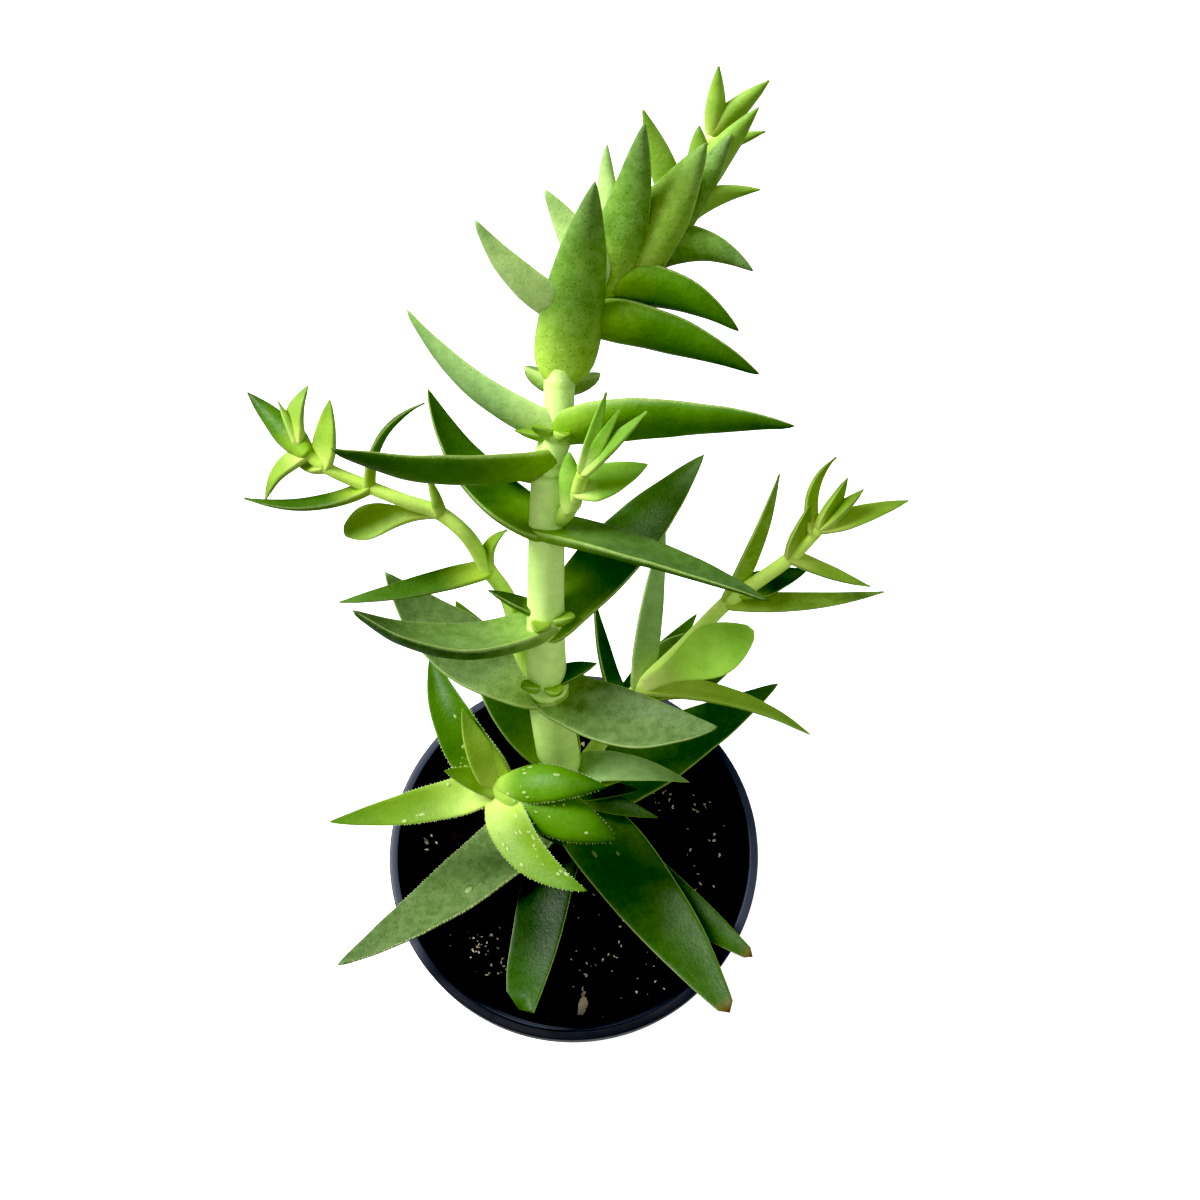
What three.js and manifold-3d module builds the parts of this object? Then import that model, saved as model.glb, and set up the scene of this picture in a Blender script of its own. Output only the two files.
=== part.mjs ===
// A sharks tooth crassula in a round plastic nursery pot. Millimetres, +Z up.
// The origin is the middle of the pot's flat bottom. +Y is the side that the main stem leans to.
import * as THREE from "three";
import { mergeVertices } from "three/addons/utils/BufferGeometryUtils.js";
import Module from "manifold-3d";

const wasm = await Module();
wasm.setup();

// Pot
const RIM_R = 53.7;
const POT_H = 88;
const BOTTOM_R = 38.5;
const WALL = 1.3;
const EDGE = 1;
const COLLAR_H = 12;
const COLLAR_STEP = 3.4;
const RIM_BAND = 2.6;
const FLOOR = 1.6;
const DRAIN_R = 4;
const DRAIN_RING_R = 28;
const DRAINS = 6;
const POT_SIDES = 48;
const DRAIN_SIDES = 16;

// Potting mix
const MIX_TOP = 76.5;
const MIX_SIDES = 36;
const MIX_RINGS = [40, 32, 24, 16, 8, 0];
const MIX_BUMP = 0.6;
const STEM_HOLE_R = 6.6;
const STEM_HOLE_LENGTH = 36;
const STEM_HOLE_SIDES = 20;

// Clearance between pieces that touch
const GAP = 0.3;

// Stems are points x, y, z and the stem's radius there, from the root up.
const MAIN_STEM = [
  [-2, 1, 60, 6],
  [-2, 6, 77, 6],
  [-3, 12, 95, 6],
  [-4, 18, 114, 5.9],
  [-6, 27, 140, 5.4],
  [-6, 36, 159, 4.7],
  [-5, 50, 184, 4.3],
  [-4, 60, 198, 3.7],
  [-2, 64, 204, 3.6],
  [-1, 73, 214, 3.4],
  [3, 81, 222, 3.1],
  [8, 85, 228, 2.8],
  [12, 87, 231, 2.5],
  [18, 89, 236, 2.2],
  [24, 93, 241, 1.9],
  [28, 99, 246, 1.6],
  [31, 106, 251, 1.3],
];
const LEFT_STEM = [
  [-7, 28, 138, 1.9],
  [-12.5, 34, 144, 1.9],
  [-16, 45, 158, 2],
  [-20.5, 49, 166, 2],
  [-25, 52, 178, 1.9],
  [-31, 55, 183, 1.8],
  [-39, 56, 187, 1.7],
  [-47, 58, 190, 1.6],
  [-57, 61, 194, 1.4],
  [-63, 65, 197, 1.2],
];
const RIGHT_STEM = [
  [-2, 15, 98, 2.4],
  [7, 24, 106, 2.4],
  [14, 32, 114, 2.3],
  [19, 36, 120, 2.3],
  [30, 43, 131, 2.1],
  [42, 51, 144, 2],
  [50, 54, 151, 1.9],
  [57.5, 57, 158, 1.8],
  [64, 61, 166, 1.4],
];
const FRONT_STEM = [
  [-3, 10, 96, 2.3],
  [-9, 7, 105, 2.3],
  [-14, 6.5, 114, 2.2],
  [-19, 6, 124, 1.8],
];
const UPPER_SIDE_STEM = [
  [-3, 51, 185, 2],
  [0, 50, 192, 2],
  [2.5, 51.5, 199, 1.8],
  [4, 52.5, 205, 1.3],
];

// Leaves are rows of:
// place along the stem counted in its points, heading of the tip in degrees (0 is +Y, 90 is +X),
// rise of the tip above level in degrees, length, width, bow (how far the middle sags to the underside,
// as a share of the length), roll about the leaf's own length in degrees, outline, sweep (how far the middle
// bends sideways, as a share of the length).
const MAIN_LEAVES = [
  [2, -131, 12, 78, 20, 0.08, 4],
  [1.8, -169, 5, 59, 15, 0.04, 0, "broken"],
  [2, 144, 8, 76, 20, 0.05, 10, "blunt", -0.03],
  [1.6, 130, 9, 68, 14, 0.03, 10, "blunt"],
  [1.8, 62, 9, 73, 21, 0.03, 10],
  [3, -34, 7, 55, 20, 0.06, 0],
  [2.6, 100, 17, 38, 9, -0.12, 20],
  [2.6, 98, 24, 24, 10, 0, 30],
  [2.2, 96, 17, 23, 7, 0, 20],
  [2.2, 111, 13, 30, 7, 0, 20],
  [4, 111, 19, 48, 16.5, 0.12, 14, "broad"],
  [4, -57, 15, 53, 19, 0.15, -15, "broad"],
  [5, -98, 27, 49.5, 14.5, 0.165, 8, "broad"],
  [5, 44, 15, 60, 16, 0.02, 15, "broad"],
  [6, 117, 12, 57, 11.5, -0.03, 0],
  [6, -43, 19, 44, 13, 0.15, -10],
  [7, -107, 28, 52, 14.5, 0.08, 40, "broad"],
  [6.8, -60, -35, 20, 12, 0, 0],
  [8, 102, 18, 54.5, 14, -0.03, -45],
  [8, -56, 20, 43.5, 12, 0.1, 45],
  [9, 30, 70, 45, 14.5, -0.04, 0, "clasping"],
  [8.8, 0, -48, 24, 18, 0, 0, "collar"],
  [10, 113, 2, 42, 12, -0.05, -50],
  [10, -74, 47, 32, 11.5, 0.08, 35, "collar"],
  [11, 39, 69, 37, 12, -0.03, 35, "clasping"],
  [11, 115, 2, 32, 11, -0.1, -50],
  [11, -53, 52, 24, 12, 0, 40],
  [12, 67, 57, 33, 14, -0.03, 25, "clasping"],
  [12, 103, 12, 29, 10.5, -0.18, -50],
  [12, -13, 60, 26, 8, 0.05, 40],
  [13, 59, 48, 28, 9, -0.03, 35],
  [13, 84, 30, 26, 7, -0.12, -30],
  [14, -42, 58, 22.5, 6.5, 0, 45],
  [14.3, 65, 51, 24, 7, -0.03, 0],
  [15, -5, 68, 10, 5.5, 0, 0],
  [15.6, 100, 28, 13, 3.5, 0, -20],
  [16, 76, 43, 15, 5, 0, -20],
  [16, 4, 70, 13, 4.5, 0, 0],
  [4.15, 84, 33, 15.5, 6, 0, 20],
  [4.2, -165, 76, 7, 5, 0, 0, "bud"],
  [5.15, -78, 27, 16, 5.5, 0, 0],
  [5.15, 150, 70, 7, 5, 0, 0, "bud"],
  [7.8, -94, 21, 10, 4, 0, 0],
  [8, -160, 74, 6.5, 4, 0, 0, "bud"],
];
const LEFT_LEAVES = [
  [3, -104, -1, 38, 6.5, 0.02, -20],
  [3, 53, 59, 14, 4, -0.15, 40],
  [5, -94, -15, 25, 9, -0.06, -35, "spoon"],
  [5, -22, 58, 10, 4.5, 0, 0],
  [7, -94, -3, 30, 4.5, 0.1, -20],
  [7, 54, 43, 26, 3.5, -0.16, 0],
  [8, 14, 46, 16, 6.5, 0, 60],
  [8, -63, -25, 10, 5, 0, 0],
  [8.6, -46, 13, 21, 6.5, 0, -160],
  [9, 14, 30, 14, 6, -0.12, 50],
  [8.6, -125, -33, 16, 5, -0.13, -50],
  [9, -26, 30, 11, 3, 0, 0],
];
const RIGHT_LEAVES = [
  [3, 10, 38, 47, 8, 0.01, -40],
  [3, 104, -7, 50, 7.5, -0.09, 15],
  [3, 88, 52, 45, 14, 0, 134, "spoon"],
  [3, 60, -6, 38, 19, 0.04, 10, "broad"],
  [2, 38, 7, 36, 9, 0.03, 0],
  [2, -18, 41, 33, 6, 0.04, -30],
  [5, 27, 48, 38, 5, -0.03, -50],
  [5, 88, 4, 42, 6, 0.04, 25],
  [5.4, 72, 5, 19, 8, 0, 0],
  [7, 109, -9, 22, 4.5, 0.02, 25],
  [7, 23, 62, 16, 6, 0, -60],
  [7.8, 17, 51, 21, 3.8, 0.16, -40],
  [8, 36, 53, 15, 5.5, 0, -40],
  [8, 63, 46, 15, 5, 0, 50],
  [8, 78, 14, 23, 6, 0, 25],
];
const FRONT_LEAVES = [
  [3, -102, -1, 46, 10.5, 0.06, -10],
  [3, -86, 36, 17, 7.5, 0, 0],
  [3, -30, 17, 40, 12.5, -0.16, 10],
  [3, -31, 47, 25.5, 8.5, -0.06, 45],
  [3, -62, 38, 14, 5, 0, 0],
  [2.6, -24, 31, 16, 6, 0, 0],
  [3, 141, 9, 38, 11.5, -0.06, 0, "lance", 0.13],
  [3, 98, 22, 31, 10.5, -0.14, 180, "broad"],
  [3, 116, 3, 35, 14, -0.1, 180, "broad"],
  [2.4, 134, -17, 20, 8, 0, 0],
];
const UPPER_SIDE_LEAVES = [
  [1.3, 0, 63, 14, 6.5, 0, 90, "broad"],
  [2, 77, 16, 17, 8.5, 0.03, 25],
  [3, 30, 60, 20, 3.4, 0, 0],
  [3, 55, 58, 18, 3.2, 0, 20],
  [3, 74, 50, 22, 3.8, 0, 20],
];

// Outlines: width at the root as a share of the full width, place of the widest point, where the blade ends,
// and for a blade on a slim neck, how late it widens.
const OUTLINES = {
  lance: { root: 0.72, widest: 0.24, end: 1 },
  clasping: { root: 0.94, widest: 0.15, end: 1 },
  collar: { root: 0.5, widest: 0.24, end: 1 },
  broad: { root: 0.6, widest: 0.38, end: 1 },
  blunt: { root: 0.7, widest: 0.28, end: 0.94 },
  broken: { root: 0.75, widest: 0.35, end: 0.8 },
  bud: { root: 0.7, widest: 0.3, end: 1 },
  spoon: { root: 0.3, widest: 0.68, end: 0.97, neck: 1.8 },
};

// Leaf sections: thickness grows with the width and fades to the tip as a cosine of so many radians.
const LEAF_THICK = 2;
const LEAF_THICK_PER_WIDTH = 0.17;
const LEAF_FADE = 1.35;
const LEAF_TOP_SHARE = 0.3;
const LEAF_CUP = 0.2;
const TIP_THICK = 0.7;
const BUD_OFFSET = 0.75; // of the stem's radius

// Faces round and along
const LONG_LEAF = 30;
const LONG_LEAF_FACES = [8, 6];
const SHORT_LEAF_FACES = [6, 4];
const STEM_SIDES = 9;
const STEM_STEPS_PER_POINT = 1.5;

const PAINT = {
  pot: { color: 0x16171b, roughness: 0.38, metalness: 0 },
  mix: { color: 0x15110e, roughness: 0.95, metalness: 0 },
  plant: { color: 0x6fa544, roughness: 0.42, metalness: 0 },
};

// Closed geometry to solid and back.
function solid(geometry) {
  const bare = geometry.clone();
  bare.deleteAttribute("normal");
  bare.deleteAttribute("uv");
  const merged = mergeVertices(bare, 1e-4);
  const vertProperties = new Float32Array(merged.attributes.position.array);
  const triVerts = new Uint32Array(merged.index.array);
  return new wasm.Manifold(new wasm.Mesh({ numProp: 3, vertProperties, triVerts }));
}

function geometryOf(body) {
  const { vertProperties, triVerts } = body.getMesh();
  const geometry = new THREE.BufferGeometry();
  geometry.setAttribute("position", new THREE.BufferAttribute(new Float32Array(vertProperties), 3));
  geometry.setIndex(new THREE.BufferAttribute(new Uint32Array(triVerts), 1));
  geometry.computeVertexNormals();
  return geometry;
}

// Moves each vertex of an upright unit cylinder to the place that shape(angle, share of height, radius) gives.
function reshape(sides, steps, shape) {
  const geometry = new THREE.CylinderGeometry(1, 1, 1, sides, steps);
  const position = geometry.attributes.position;
  for (let i = 0; i < position.count; i++) {
    const x = position.getX(i);
    const z = position.getZ(i);
    const place = shape(Math.atan2(z, x), position.getY(i) + 0.5, Math.hypot(x, z));
    position.setXYZ(i, place.x, place.y, place.z);
  }
  return solid(geometry);
}

function pathOf(stem) {
  return new THREE.CatmullRomCurve3(stem.map(([x, y, z]) => new THREE.Vector3(x, y, z)));
}

function stemRadius(stem, place) {
  const i = Math.min(Math.floor(place), stem.length - 2);
  return THREE.MathUtils.lerp(stem[i][3], stem[i + 1][3], place - i);
}

// A stem: a tapering round tube along its points.
function stemTube(stem, grow = 0) {
  const path = pathOf(stem);
  const last = stem.length - 1;
  const side = new THREE.Vector3(1, 0, 0);
  const steps = Math.ceil(STEM_STEPS_PER_POINT * last);
  return reshape(STEM_SIDES, steps, (angle, share, radius) => {
    const along = path.getTangent(share);
    const across = side.clone().addScaledVector(along, -side.dot(along)).normalize();
    const over = along.clone().cross(across);
    const r = radius * (stemRadius(stem, share * last) + grow);
    return path
      .getPoint(share)
      .addScaledVector(across, r * Math.cos(angle))
      .addScaledVector(over, -r * Math.sin(angle));
  });
}

function outlineWidth(share, { root, widest, neck = 1 }) {
  if (share < widest) {
    return root + (1 - root) * (0.5 - 0.5 * Math.cos((Math.PI * share) / widest)) ** neck;
  }
  return Math.cos((Math.PI / 2) * ((share - widest) / (1 - widest))) ** 0.85;
}

// A fleshy boat-shaped leaf, rooted on the stem's axis and pointing along heading and rise.
// A bud is rooted nearer the stem's skin, on the side that it points to.
function leafBlade(stem, row, grow = 0) {
  const [place, heading, rise, length, width, bow, roll, kind = "lance", sweep = 0] = row;
  const path = pathOf(stem);
  const share = place / (stem.length - 1);
  const root = path.getPoint(share);
  const turn = THREE.MathUtils.degToRad(heading);
  const climb = THREE.MathUtils.degToRad(rise);
  const chord = new THREE.Vector3(
    Math.sin(turn) * Math.cos(climb),
    Math.cos(turn) * Math.cos(climb),
    Math.sin(climb),
  );
  const stemward = path.getTangent(share);
  if (kind === "bud") {
    const outward = chord.clone().addScaledVector(stemward, -chord.dot(stemward)).normalize();
    root.addScaledVector(outward, BUD_OFFSET * stemRadius(stem, place));
  }
  const stemSide = stemward.addScaledVector(chord, -stemward.dot(chord)).normalize();
  const face = stemSide.clone().applyAxisAngle(chord, THREE.MathUtils.degToRad(roll));
  const aside = chord.clone().cross(face);
  const outline = OUTLINES[kind];
  const full = length / outline.end;
  const thick = LEAF_THICK + LEAF_THICK_PER_WIDTH * width;
  const [sides, steps] = length > LONG_LEAF ? LONG_LEAF_FACES : SHORT_LEAF_FACES;
  return reshape(sides, steps, (angle, height, radius) => {
    const s = height * outline.end;
    const half = Math.max(TIP_THICK, width * outlineWidth(s, outline)) / 2 + grow;
    const thickness = Math.max(TIP_THICK, thick * Math.cos(LEAF_FADE * s)) + 2 * grow;
    const along = chord
      .clone()
      .addScaledVector(stemSide, -4 * bow * (1 - 2 * height))
      .addScaledVector(aside, 4 * sweep * (1 - 2 * height))
      .normalize();
    const over = face.clone().addScaledVector(along, -face.dot(along)).normalize();
    const across = along.clone().cross(over);
    const x = radius * Math.cos(angle);
    const y = radius * Math.sin(angle);
    const cup = LEAF_CUP * half * x * x;
    const lift = thickness * y * (y > 0 ? LEAF_TOP_SHARE : 1 - LEAF_TOP_SHARE);
    return root
      .clone()
      .addScaledVector(chord, full * s)
      .addScaledVector(stemSide, -4 * bow * length * height * (1 - height))
      .addScaledVector(aside, 4 * sweep * length * height * (1 - height))
      .addScaledVector(across, half * x)
      .addScaledVector(over, cup + lift);
  });
}

function leafyShoot(stem, leaves, grow = 0) {
  return leaves.reduce((body, row) => body.add(leafBlade(stem, row, grow)), stemTube(stem, grow));
}

function lathe(profile, sides) {
  const geometry = new THREE.LatheGeometry(
    profile.map(([r, z]) => new THREE.Vector2(r, z)),
    sides,
  );
  return geometry.rotateX(Math.PI / 2);
}

// The thin pot, with a rounded rim band, an upright collar, a tapering body and drain holes.
function pot() {
  const collarBottom = POT_H - COLLAR_H;
  const bodyTopR = RIM_R - COLLAR_STEP;
  const shell = solid(
    lathe(
      [
        [0, 0],
        [BOTTOM_R - 2 * EDGE, 0],
        [BOTTOM_R, 1.5 * EDGE],
        [bodyTopR, collarBottom],
        [RIM_R - EDGE, collarBottom + 0.3 * EDGE],
        [RIM_R - 0.4 * EDGE, collarBottom + 1.2 * EDGE],
        [RIM_R, POT_H - 1.6 * EDGE],
        [RIM_R - 0.4 * EDGE, POT_H - 0.4 * EDGE],
        [RIM_R - EDGE, POT_H],
        [RIM_R - RIM_BAND + 0.5 * EDGE, POT_H],
        [RIM_R - RIM_BAND, POT_H - 0.5 * EDGE],
        [bodyTopR - WALL + 0.6 * EDGE, collarBottom + 2 * EDGE],
        [bodyTopR - WALL, collarBottom],
        [BOTTOM_R - WALL, FLOOR + 1.5 * EDGE],
        [BOTTOM_R - WALL - 1.5 * EDGE, FLOOR],
        [0, FLOOR],
      ],
      POT_SIDES,
    ),
  );
  const drain = new THREE.CylinderGeometry(DRAIN_R, DRAIN_R, 4 * FLOOR, DRAIN_SIDES).rotateX(Math.PI / 2);
  let body = shell;
  for (let i = 0; i < DRAINS; i++) {
    const turn = (2 * Math.PI * i) / DRAINS;
    const x = DRAIN_RING_R * Math.cos(turn);
    const y = DRAIN_RING_R * Math.sin(turn);
    body = body.subtract(solid(drain.clone().translate(x, y, 0)));
  }
  return body;
}

// The mix fills the pot to below the rim, with a lumpy top and a plain hole for the main stem.
function pottingMix() {
  const topR = RIM_R - COLLAR_STEP - WALL - GAP;
  const footR = BOTTOM_R - WALL - 1.5 * EDGE - GAP;
  const geometry = lathe(
    [
      [0, FLOOR + GAP],
      [footR, FLOOR + GAP],
      [footR + 1.2 * EDGE, FLOOR + GAP + 1.8 * EDGE],
      [topR, POT_H - COLLAR_H - EDGE],
      [topR, MIX_TOP],
      ...MIX_RINGS.map((r) => [r, MIX_TOP]),
    ],
    MIX_SIDES,
  );
  const position = geometry.attributes.position;
  for (let i = 0; i < position.count; i++) {
    const x = position.getX(i);
    const y = position.getY(i);
    const inner = Math.hypot(x, y) < topR - GAP;
    if (position.getZ(i) > MIX_TOP - 0.1 && inner) {
      const bump = Math.sin(0.31 * x + 1) * Math.cos(0.27 * y) + Math.sin(0.17 * (x + y));
      position.setZ(i, MIX_TOP + MIX_BUMP * bump);
    }
  }
  const foot = new THREE.Vector3(...MAIN_STEM[0]);
  const collar = new THREE.Vector3(...MAIN_STEM[1]);
  const lean = collar.clone().sub(foot).normalize();
  const hole = new THREE.CylinderGeometry(STEM_HOLE_R, STEM_HOLE_R, STEM_HOLE_LENGTH, STEM_HOLE_SIDES);
  hole.applyQuaternion(new THREE.Quaternion().setFromUnitVectors(new THREE.Vector3(0, 1, 0), lean));
  const middle = foot.addScaledVector(lean, STEM_HOLE_LENGTH / 2 - GAP);
  return solid(geometry).subtract(solid(hole.translate(middle.x, middle.y, middle.z)));
}

function piece(name, body, paint) {
  const mesh = new THREE.Mesh(geometryOf(body), new THREE.MeshStandardMaterial(paint));
  mesh.name = name;
  return mesh;
}

const plant = new THREE.Group();
plant.add(piece("pot", pot(), PAINT.pot));
plant.add(piece("potting_mix", pottingMix(), PAINT.mix));
plant.add(piece("main_shoot", leafyShoot(MAIN_STEM, MAIN_LEAVES), PAINT.plant));

// Each side shoot stands off the main shoot by the clearance, where it grows out of it.
const roomForMain = leafyShoot(MAIN_STEM, MAIN_LEAVES, GAP);
const SIDE_SHOOTS = {
  left_shoot: [LEFT_STEM, LEFT_LEAVES],
  right_shoot: [RIGHT_STEM, RIGHT_LEAVES],
  front_shoot: [FRONT_STEM, FRONT_LEAVES],
  upper_side_shoot: [UPPER_SIDE_STEM, UPPER_SIDE_LEAVES],
};
for (const [name, [stem, leaves]] of Object.entries(SIDE_SHOOTS)) {
  plant.add(piece(name, leafyShoot(stem, leaves).subtract(roomForMain), PAINT.plant));
}

export default plant;
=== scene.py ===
# %% [markdown]
# # Potted sharks tooth crassula
# A young succulent in a black nursery pot. A pale, thick stem leans back and arches to the right.
# Pairs of fleshy, boat-shaped leaves sit on it, each pair turned a quarter against the next, and four
# thinner side shoots grow out of the leaf axils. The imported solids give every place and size.
# This file dresses them: finer leaves on the same lines, and the colours and gloss of the living plant.

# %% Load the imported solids
import math
import random

import bmesh
import bpy
from mathutils import Matrix, Quaternion, Vector, noise


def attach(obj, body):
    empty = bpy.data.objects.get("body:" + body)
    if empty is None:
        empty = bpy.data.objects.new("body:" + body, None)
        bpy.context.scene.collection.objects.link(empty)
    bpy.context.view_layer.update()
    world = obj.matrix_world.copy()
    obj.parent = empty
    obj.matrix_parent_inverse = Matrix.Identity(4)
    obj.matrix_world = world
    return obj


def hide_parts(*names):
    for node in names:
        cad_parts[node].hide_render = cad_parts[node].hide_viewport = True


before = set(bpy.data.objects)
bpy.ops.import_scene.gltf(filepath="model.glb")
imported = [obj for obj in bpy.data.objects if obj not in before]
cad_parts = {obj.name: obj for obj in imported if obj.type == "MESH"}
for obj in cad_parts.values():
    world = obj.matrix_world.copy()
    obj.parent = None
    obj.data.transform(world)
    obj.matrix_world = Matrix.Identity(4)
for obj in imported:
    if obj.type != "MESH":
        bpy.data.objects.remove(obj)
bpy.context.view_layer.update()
noise.seed_set(7)  # without a seed, noise vectors start from the clock
print("nodes:", sorted(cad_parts))

# %% [markdown]
# ## Camera
# The plant was photographed from close above, leaning in over the near rim, with a fairly wide lens:
# the pot is seen almost from the top while the far, high end of the stem is seen from the side.
# A plain camera at that spot in millimetres, looking 63 degrees below the horizon, gives the same view.

# %% Camera
MM = 0.001
LENS = 34.5
CAMERA_SPOT = (7.6, -88.8, 419.2)
LOOKS_DOWN = 63
camera_data = bpy.data.cameras.new("photo_camera")
camera_data.sensor_width = 36
camera_data.lens = LENS
camera = bpy.data.objects.new("photo_camera", camera_data)
camera.location = Vector(CAMERA_SPOT) * MM
camera.rotation_euler = (math.radians(90 - LOOKS_DOWN), 0, 0)
bpy.context.scene.collection.objects.link(camera)
bpy.context.scene.camera = camera
print("camera height in mm:", round(camera.location.z / MM))

# %% [markdown]
# ## Floor and light
# The photograph has a burnt-out white table and a soft window light from the upper left, a little from
# behind, so every leaf keeps a lit and a shaded side. A dim neutral world and a wide, weak lamp in front
# fill the shade, and a small lamp on the right draws the thin line on the pot's rim. The Standard view
# transform keeps the greens fresh, and a raised black level gives the deep blacks of the mix.

# %% Floor and light
FLOOR_SIZE = 6.0
BLACK_LEVEL = 0.018
WORLD_STRENGTH = 0.5
scene = bpy.context.scene
scene.view_settings.view_transform = "Standard"
scene.view_settings.use_curve_mapping = True
scene.view_settings.curve_mapping.black_level = (BLACK_LEVEL,) * 3
scene.view_settings.curve_mapping.update()
world = bpy.data.worlds.new("white_room")
world.use_nodes = True
world.node_tree.nodes["Background"].inputs["Color"].default_value = (1, 1, 1, 1)
world.node_tree.nodes["Background"].inputs["Strength"].default_value = WORLD_STRENGTH
scene.world = world


def object_from(name, bm):
    """Turns a finished bmesh into an object in the scene."""
    mesh = bpy.data.meshes.new(name)
    bm.to_mesh(mesh)
    bm.free()
    piece = bpy.data.objects.new(name, mesh)
    scene.collection.objects.link(piece)
    return piece


bm = bmesh.new()
bmesh.ops.create_grid(bm, x_segments=1, y_segments=1, size=FLOOR_SIZE / 2)
floor = object_from("floor", bm)


def softbox(name, place, aim, size, power):
    """A white square area lamp in metres and watts, turned to shine at the aim."""
    lamp = bpy.data.lights.new(name, "AREA")
    lamp.size, lamp.energy = size, power
    box = bpy.data.objects.new(name, lamp)
    box.location = place
    box.rotation_euler = (Vector(aim) - Vector(place)).to_track_quat("-Z", "Y").to_euler()
    scene.collection.objects.link(box)


PLANT_MIDDLE = (0, 0.03, 0.14)
softbox("key", (-0.75, 0.3, 1.0), PLANT_MIDDLE, 0.45, 23.5)
softbox("fill", (0.2, -0.9, 1.0), PLANT_MIDDLE, 1.6, 1.0)
softbox("rim_light", (0.9, 0.15, 0.45), PLANT_MIDDLE, 0.25, 1)

# %% [markdown]
# ## Building materials from nodes
# Every finish here is a small tree of shader nodes. A few helpers keep that readable: one adds a node and
# fills or links its sockets, one turns a colour given on the 0 to 255 scale into the linear one that shaders
# use, and the others stand for the steps that come back in every tree: a smooth step, a sum or product, a
# blend.


# %% Colours from 0 to 255
def linear(red, green, blue):
    """A colour on the 0 to 255 scale of the eye, as linear light."""
    return tuple(
        c / 12.92 if c <= 0.04045 else ((c + 0.055) / 1.055) ** 2.4
        for c in (red / 255, green / 255, blue / 255)
    )


print("leaf green in linear light:", [round(c, 3) for c in linear(82, 132, 44)])


# %% Node helpers
def add(tree, kind, sockets=None, **settings):
    """Adds a node; sockets maps an input to a value or to the output it is linked to."""
    node = tree.nodes.new(kind)
    for key, value in settings.items():
        setattr(node, key, value)
    for key, value in (sockets or {}).items():
        if isinstance(value, bpy.types.NodeSocket):
            tree.links.new(value, node.inputs[key])
        else:
            node.inputs[key].default_value = value
    return node


def ramp(tree, value, low, high, to_low=0.0, to_high=1.0):
    """A smooth step of a value from low to high."""
    sockets = {"Value": value, "From Min": low, "From Max": high, "To Min": to_low, "To Max": to_high}
    return add(tree, "ShaderNodeMapRange", sockets, interpolation_type="SMOOTHSTEP").outputs["Result"]


def times(tree, one, other, operation="MULTIPLY"):
    """Two values put together by a maths operation."""
    return add(tree, "ShaderNodeMath", {0: one, 1: other}, operation=operation).outputs["Value"]


def blend(tree, share, below, above, how="MIX"):
    """Colour above laid over colour below by a share."""
    sockets = {0: share, 6: below, 7: above}
    return add(tree, "ShaderNodeMix", sockets, data_type="RGBA", blend_type=how).outputs[2]


# %% Materials and groups
FLOAT, VECTOR = "NodeSocketFloat", "NodeSocketVector"


def new_material(name):
    """An empty material with its shader and the object coordinates."""
    material = bpy.data.materials.new(name)
    material.use_nodes = True
    tree = material.node_tree
    shader = tree.nodes["Principled BSDF"]
    place = add(tree, "ShaderNodeTexCoord").outputs["Object"]
    return material, tree, shader, place


def new_group(name, inputs, outputs):
    """An empty node group with named sockets."""
    tree = bpy.data.node_groups.new(name, "ShaderNodeTree")
    for socket, kind in inputs.items():
        tree.interface.new_socket(socket, in_out="INPUT", socket_type=kind)
    for socket, kind in outputs.items():
        tree.interface.new_socket(socket, in_out="OUTPUT", socket_type=kind)
    return tree, add(tree, "NodeGroupInput").outputs, add(tree, "NodeGroupOutput").inputs


print("kinds of socket:", FLOAT, VECTOR)

# %% [markdown]
# ## Effects that several finishes share
# Nothing on a plant or a used pot is one even colour. The cloud group gives two layers of soft noise:
# large patches for colour that drifts, and a fine one for the tiny unevenness that breaks up gloss.
# The speck group scatters round dots: breathing pores on the leaves, and dust on the pot and in the mix.

# %% Shared node groups
cloud_group, given, result = new_group(
    "cloud", {"Vector": VECTOR, "Patch Size": FLOAT, "Fine Size": FLOAT}, {"Patch": FLOAT, "Fine": FLOAT}
)
for layer in ("Patch", "Fine"):
    frequency = times(cloud_group, 1.0, given[f"{layer} Size"], "DIVIDE")
    soft_noise = add(
        cloud_group,
        "ShaderNodeTexNoise",
        {"Vector": given["Vector"], "Scale": frequency, "Detail": 3.0, "Roughness": 0.55},
    )
    cloud_group.links.new(ramp(cloud_group, soft_noise.outputs["Fac"], 0.3, 0.7), result[layer])

speck_group, given, result = new_group(
    "specks", {"Vector": VECTOR, "Spacing": FLOAT, "Dot": FLOAT, "Amount": FLOAT}, {"Mask": FLOAT}
)
frequency = times(speck_group, 1.0, given["Spacing"], "DIVIDE")
cells = add(speck_group, "ShaderNodeTexVoronoi", {"Vector": given["Vector"], "Scale": frequency})
dot_edge = times(speck_group, given["Dot"], 0.5)
dots = ramp(speck_group, cells.outputs["Distance"], given["Dot"], dot_edge)
chance = add(speck_group, "ShaderNodeSeparateColor", {0: cells.outputs["Color"]}).outputs[0]
kept = times(speck_group, chance, given["Amount"], "LESS_THAN")
speck_group.links.new(times(speck_group, dots, kept), result["Mask"])


def cloud(tree, vector, patch, fine):
    """Patch and fine noise of these sizes in metres."""
    sockets = {"Vector": vector, "Patch Size": patch, "Fine Size": fine}
    group = add(tree, "ShaderNodeGroup", sockets, node_tree=cloud_group)
    return group.outputs["Patch"], group.outputs["Fine"]


def specks(tree, vector, spacing, dot, amount):
    """Dots this far apart in metres; dot is their radius as a share of that, amount the share kept."""
    sockets = {"Vector": vector, "Spacing": spacing, "Dot": dot, "Amount": amount}
    return add(tree, "ShaderNodeGroup", sockets, node_tree=speck_group).outputs["Mask"]


print("groups:", [g.name for g in bpy.data.node_groups])
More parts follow.
